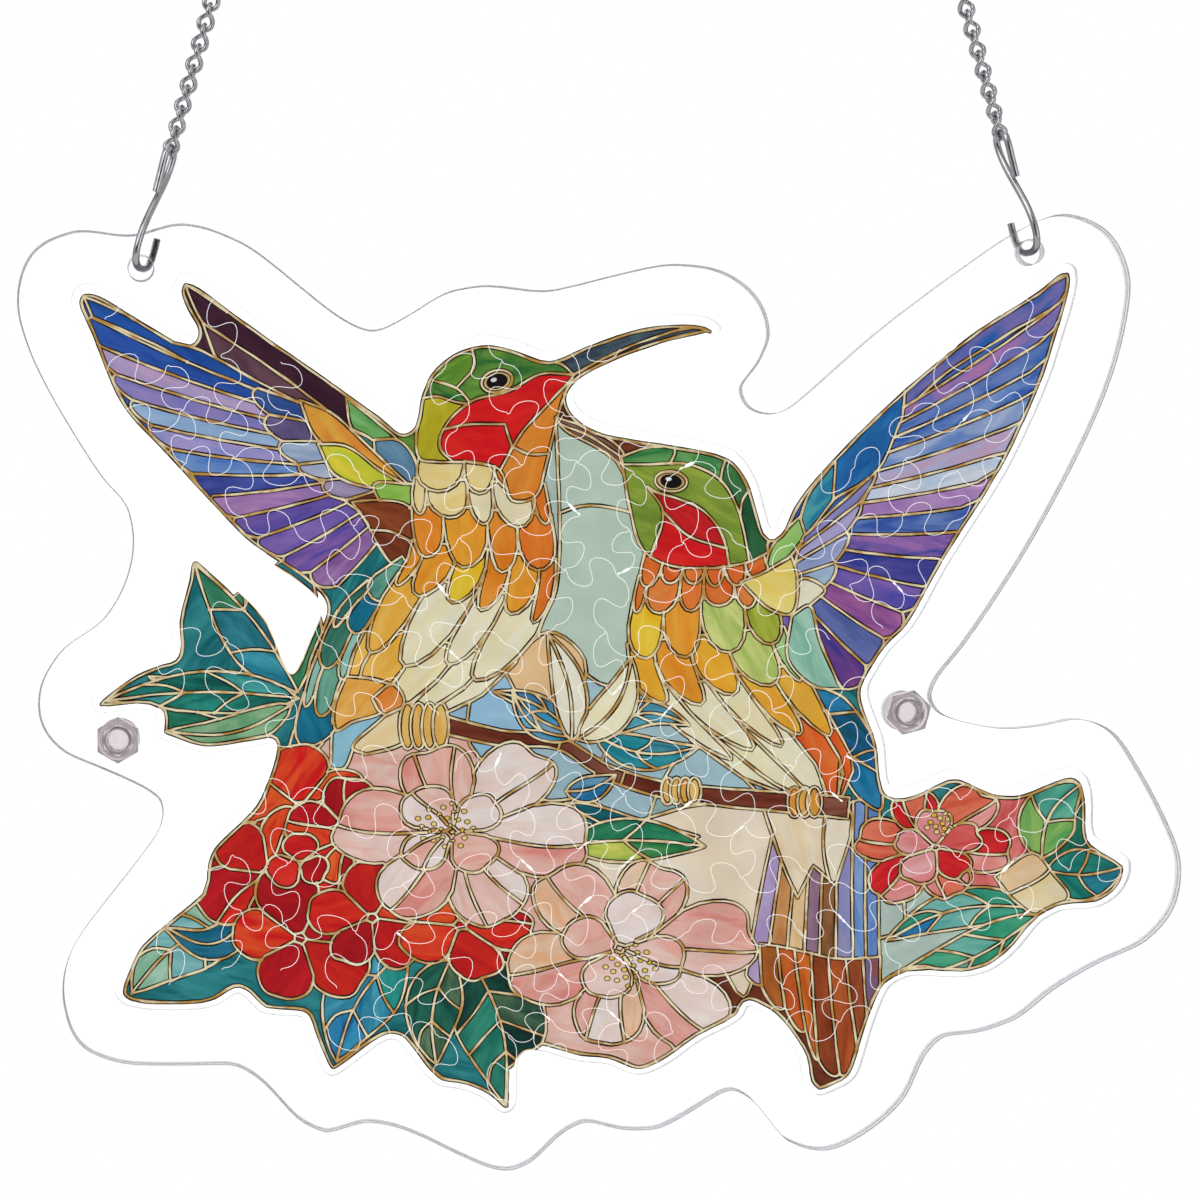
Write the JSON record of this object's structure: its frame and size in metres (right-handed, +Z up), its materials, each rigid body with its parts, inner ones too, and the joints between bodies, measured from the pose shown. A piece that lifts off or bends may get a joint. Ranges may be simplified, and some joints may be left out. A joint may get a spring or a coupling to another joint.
{
  "type": "puzzle suncatcher",
  "caption": "Clear layered plate that holds a jigsaw picture of two birds among flowers and leaves, closed by plastic screws and nuts and hung from chain strands with S-hooks and end rings.",
  "frame": {"origin": "midway between the centres of the two hanging rings, in the middle of the plate's thickness", "axes": "+X to the viewer's right, +Y from the picture side to the back, +Z up"},
  "size_m": [0.234, 0.0132, 0.2524],
  "materials": {
    "clear_acrylic": "clear polished acrylic",
    "printed_acrylic": "printed face, cut into jigsaw pieces",
    "clear_plastic": "moulded translucent plastic",
    "polished_steel": "bright polished wire"
  },
  "bodies": {
    "root": {"front_cover": "clear_acrylic", "middle_frame": "clear_acrylic", "back_cover": "clear_acrylic", "puzzle_picture": "printed_acrylic", "screw_left": "clear_plastic", "screw_right": "clear_plastic", "nut_left": "clear_plastic", "nut_right": "clear_plastic", "hook_left": "polished_steel", "hook_right": "polished_steel", "link_left_1": "polished_steel", "link_left_2": "polished_steel", "link_left_3": "polished_steel", "link_left_4": "polished_steel", "link_left_5": "polished_steel", "link_left_6": "polished_steel", "link_left_7": "polished_steel", "link_left_8": "polished_steel", "link_left_9": "polished_steel", "link_right_1": "polished_steel", "link_right_2": "polished_steel", "link_right_3": "polished_steel", "link_right_4": "polished_steel", "link_right_5": "polished_steel", "link_right_6": "polished_steel", "link_right_7": "polished_steel", "link_right_8": "polished_steel", "ring_left": "polished_steel", "ring_right": "polished_steel"}
  },
  "joints": []
}
